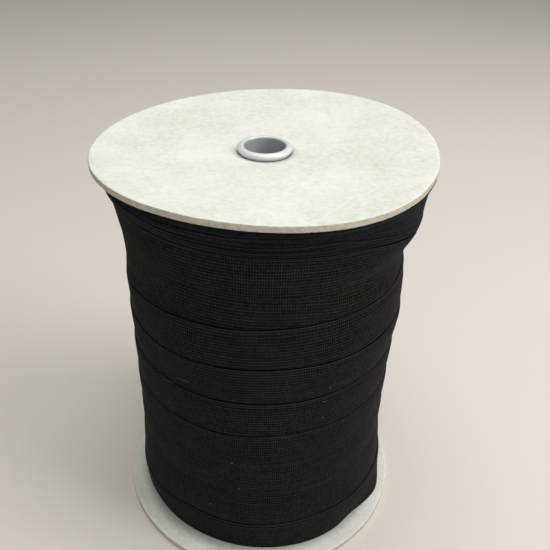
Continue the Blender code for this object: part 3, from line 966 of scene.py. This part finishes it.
def elastic_finish():
    finish, shader = new_finish("black_woven_elastic", 0.82, 0.035)
    shader.inputs["Sheen Weight"].default_value = 0.045
    shader.inputs["Sheen Roughness"].default_value = 0.35
    weave = node(finish, "UVMap", {"uv_map": "weave"}).outputs[0]
    along, across = node(finish, "SeparateXYZ", Vector=weave).outputs[:2]
    place = node(finish, "TexCoord").outputs["Object"]
    edge_marks = node(finish, "Attribute", {"attribute_name": "edge_marks"}).outputs["Color"]
    selvedge_highlight, groove = node(finish, "SeparateColor", Color=edge_marks).outputs[:2]
    pit = weave_pits(finish, [along, across])
    high = upper_turns(finish, along, across)
    broad = noise(finish, place, 60.0, 3.0, Roughness=0.5)
    yarn = noise(finish, place, 1500.0, 2.0)
    crossing = node(finish, "VectorMath", {"operation": "FLOOR"}, i0=weave).outputs[0]
    each = node(finish, "TexWhiteNoise", Vector=crossing).outputs["Value"]
    # The upper turns take the painted shade tone in place of the lower tones.
    tone = mixed_colour(finish, high, tints(finish, broad, LOWER_TONES), TOP_SHADE_TONE)
    # Painted shade in the pits between yarns, lessened on the upper turns.
    depth = maths(finish, "SUBTRACT", PIT_SHADE_DEPTH, times(finish, high, PIT_SHADE_LESS_HIGH))
    light = maths(finish, "SUBTRACT", YARN_LIGHT, times(finish, pit, depth))
    streak = noise(finish, place, (22.0, 22.0, 1300.0), 2.0)
    streak_force = scaled(finish, high, 3.4, 0.9)
    streak = times(finish, maths(finish, "SUBTRACT", streak, 0.5), streak_force)
    uneven = weighed(finish, yarn, 0.7, each, 0.5)
    uneven = maths(finish, "MAXIMUM", maths(finish, "ADD", uneven, streak), -0.3)
    light = times(finish, light, maths(finish, "ADD", uneven, 0.40))
    shade = node(finish, "VectorMath", {"operation": "SCALE"}, Vector=tone, Scale=light).outputs[0]
    # Painted highlight on the selvedges, where light from above catches the tape's upper edge.
    lit = times(finish, selvedge_highlight, scaled(finish, yarn, 0.9, 0.15))
    edged = mixed_colour(finish, lit, shade, SELVEDGE_HIGHLIGHT_TONE)
    # Painted shade in the grooves and under each edge.
    feed(finish, shader.inputs["Base Color"], mixed_colour(finish, groove, edged, GROOVE_SHADE_TONE))
    height = maths(finish, "SUBTRACT", times(finish, yarn, 0.35), pit)
    relief(finish, shader, 0.5, 0.2 * MM, height)
    return finish


elastic = elastic_finish()
for winding_mesh in winding_meshes:
    add_piece(winding_mesh.name, winding_mesh, [elastic], "black_elastic", "elastic_winding")

# %% [markdown]
# ## The turns below
#
# Under the turns that show lie many more. They are hidden, so one closed body with the same finish stands
# for them, 3.4 mm further in. It keeps light from shining through between two laps.

# %% Fill the inside
INNER_COLUMNS, INNER_ROWS = 120, 40
INNER_DEPTH, INNER_BORE = 3.4, 13.0
INNER_TOP, INNER_FOOT = 191.0, 9.0


def inner_body():
    around = np.arange(INNER_COLUMNS)[:, None] / INNER_COLUMNS
    turning = np.radians(LEFT_ANGLE + 360 * around)
    heights = np.linspace(INNER_TOP, INNER_FOOT, INNER_ROWS) + 0 * around
    outer = skin_radius(around, heights) - INNER_DEPTH
    bore = INNER_BORE + 0 * around
    radii = np.hstack([outer, bore, bore])
    levels = np.hstack([heights, INNER_FOOT + 0 * around, INNER_TOP + 0 * around])
    grid = grid_of(radii * MM, turning + 0 * radii, levels * MM)
    return mesh_of_grids("elastic_inner_turns", [grid], joined=True)


add_piece("elastic_inner_turns", inner_body(), [elastic], "black_elastic", "elastic_winding")

# %% [markdown]
# ## Lint and pulled yarns
#
# Black elastic gathers pale lint, and here and there a yarn is pulled up from the weave.
# Each is a fine thread: a short path that lies on the tape, with a thin tube of six sides swept along it.

# %% Lay the fine threads
THREAD_SIDES = 6
LINT_THICKNESS, YARN_THICKNESS = 0.26, 0.42
LINT_BEHIND = 14
LINT_PLACES = [
    # angle in degrees, height and half length in mm
    (-101.9, 66.3, 0.62), (-62.6, 111.1, 0.6), (-64.7, 93.3, 0.55),
    (-64.7, 103.6, 0.4), (-112.2, 32.4, 0.5), (-98.5, 48.6, 0.5),
]
PULLED_YARNS = [
    [(-136.0, 105.6, 0.1), (-134.5, 105.5, 0.35), (-132.0, 105.4, 0.45), (-129.7, 105.6, 0.4),
     (-127.6, 105.9, 0.15)],
    [(-126.0, 110.5, 0.1), (-124.0, 111.0, 0.3), (-121.5, 111.5, 0.4), (-118.8, 111.9, 0.15)],
]


def thread_points(path, thickness):
    """A closed tube along a path of (angle in degrees, height in mm, distance out from the tape in mm)."""
    degrees, heights, lifts = np.array(path, float).T
    turned = np.radians(degrees)
    on_tape = skin_radius((degrees[:, None] - LEFT_ANGLE) / 360, heights[:, None])[:, 0]
    middle = grid_of(on_tape + 0.35 + lifts, turned, heights)
    ahead = np.gradient(middle, axis=0)
    ahead /= np.linalg.norm(ahead, axis=1)[:, None]
    side = np.cross(ahead, np.stack([np.cos(turned), np.sin(turned), 0 * turned], axis=-1))
    side /= np.linalg.norm(side, axis=1)[:, None]
    lift = np.cross(side, ahead)
    round_turn = np.linspace(0, 2 * math.pi, THREAD_SIDES, endpoint=False)[None, :, None]
    taper = (0.35 + 0.65 * np.sin(math.pi * np.linspace(0.08, 0.92, len(path))))[:, None, None]
    ring = side[:, None] * np.cos(round_turn) + lift[:, None] * np.sin(round_turn)
    return (middle[:, None] + ring * taper * thickness / 2) * MM


def curl(angle, height, size, heading):
    """A small bent path of lint round a place."""
    steps = np.linspace(-1, 1, 7)
    along = steps * size * np.cos(heading + 0.7 * steps)
    upward = steps * size * np.sin(heading + 0.7 * steps)
    degrees, heights, lifts = angle + np.degrees(along / 65.0), height + upward, 0.12 * (1 - steps * steps)
    return list(zip(degrees, heights, lifts))


chance = np.random.default_rng(41)
lint_paths = [curl(*place, chance.uniform(0, math.pi)) for place in LINT_PLACES]
for _ in range(LINT_BEHIND):
    drawn = [chance.uniform(least, most) for least, most in [(-10, 180), (25, 150), (0.3, 0.6), (0, math.pi)]]
    lint_paths.append(curl(*drawn))
lint_mesh = mesh_of_grids("lint", [thread_points(path, LINT_THICKNESS) for path in lint_paths])
yarn_mesh = mesh_of_grids("pulled_yarns", [thread_points(path, YARN_THICKNESS) for path in PULLED_YARNS])
print("lint threads:", len(lint_paths), "pulled yarns:", len(PULLED_YARNS))

# %% Finish the fine threads
def thread_finish(name, dark, pale, roughness):
    finish, shader = new_finish(name, roughness, 0.1)
    place = node(finish, "TexCoord").outputs["Object"]
    twist = noise(finish, place, 2500.0, 2.0)
    feed(finish, shader.inputs["Base Color"], tints(finish, twist, [(0.35, dark), (0.65, pale)]))
    relief(finish, shader, 0.4, 0.1 * MM, twist)
    return finish


pale_lint = thread_finish("pale_lint", (0.09, 0.085, 0.08), (0.18, 0.17, 0.16), 0.9)
pulled_yarn = thread_finish("pulled_black_yarn", (0.035, 0.032, 0.030), (0.075, 0.070, 0.066), 0.8)
add_piece("lint", lint_mesh, [pale_lint], "black_elastic")
add_piece("pulled_yarns", yarn_mesh, [pulled_yarn], "black_elastic")
